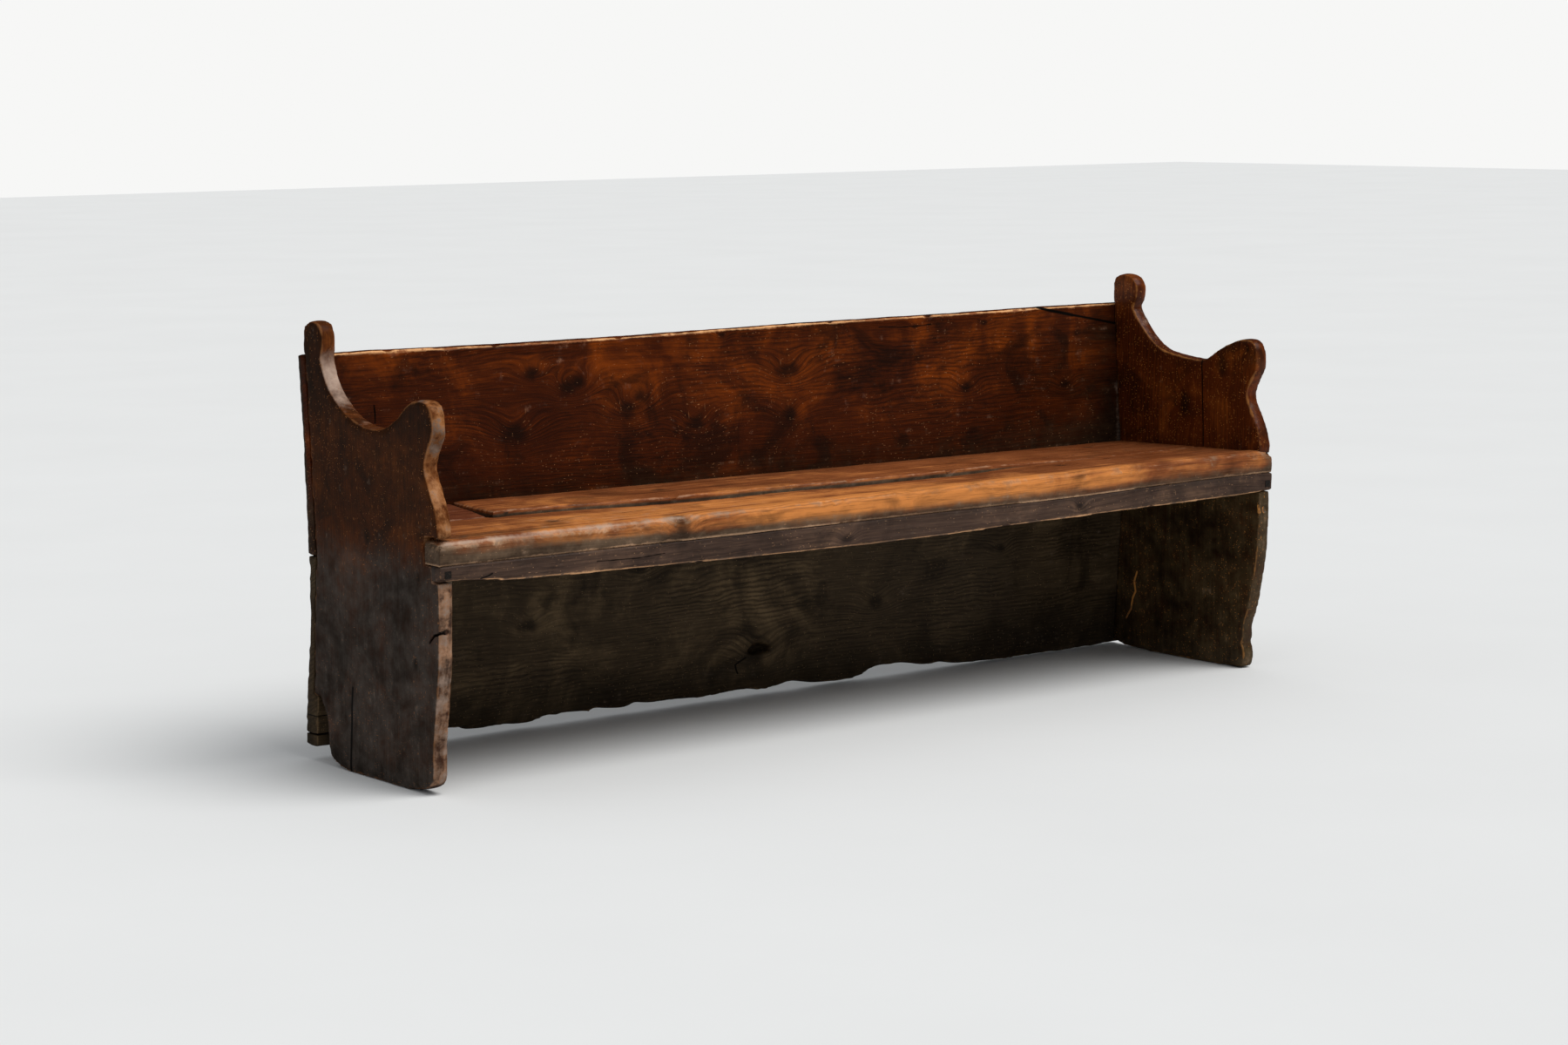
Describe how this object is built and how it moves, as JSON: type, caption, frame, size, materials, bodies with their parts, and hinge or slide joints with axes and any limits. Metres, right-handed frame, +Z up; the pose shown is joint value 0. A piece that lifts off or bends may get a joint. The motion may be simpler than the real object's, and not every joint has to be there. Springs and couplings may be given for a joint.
{
  "type": "monks bench",
  "caption": "Long plank bench with a leaning plank back, a fixed plank seat with a rail below it, and scroll-topped end panels that stand on the floor.",
  "frame": {"origin": "on the floor, in the middle of the length and of the overall depth", "axes": "+Z up, +X along the length to the sitter's left as seen from behind, which is the right end in the picture; the front faces -Y"},
  "size_m": [2.048, 0.4924, 0.8215],
  "materials": {
    "panel_wood": "old polished softwood, dark red-brown above the seat and grey-black below",
    "back_wood": "old polished softwood, red-brown with smoky knots",
    "dark_wood": "old softwood, sooty olive-brown, dull",
    "seat_wood": "old softwood worn smooth, orange-brown with a pale nosing",
    "patch_wood": "old softwood, maroon-brown, satin",
    "rail_wood": "old softwood, grey-brown, with a pale worn lower edge",
    "raw_wood": "unpolished sawn softwood gone grey-brown",
    "forged_iron": "black hand-forged iron with a little rust"
  },
  "bodies": {
    "root": {"left_end_panel": "panel_wood", "right_end_panel": "panel_wood", "upper_back_board": "back_wood", "lower_back_board": "dark_wood", "seat_front_board": "seat_wood", "seat_rear_board": "seat_wood", "seat_corner_patch": "patch_wood", "front_rail": "rail_wood", "left_seat_bearer": "raw_wood", "right_seat_bearer": "raw_wood", "rear_ledger": "raw_wood", "seat_cross_bearer": "raw_wood", "upper_back_nails": "forged_iron", "lower_back_nails": "forged_iron", "ledger_nails": "forged_iron", "rail_nails": "forged_iron", "seat_front_nails": "forged_iron", "seat_rear_nails": "forged_iron", "patch_nails": "forged_iron", "bearer_nails": "forged_iron"}
  },
  "joints": []
}
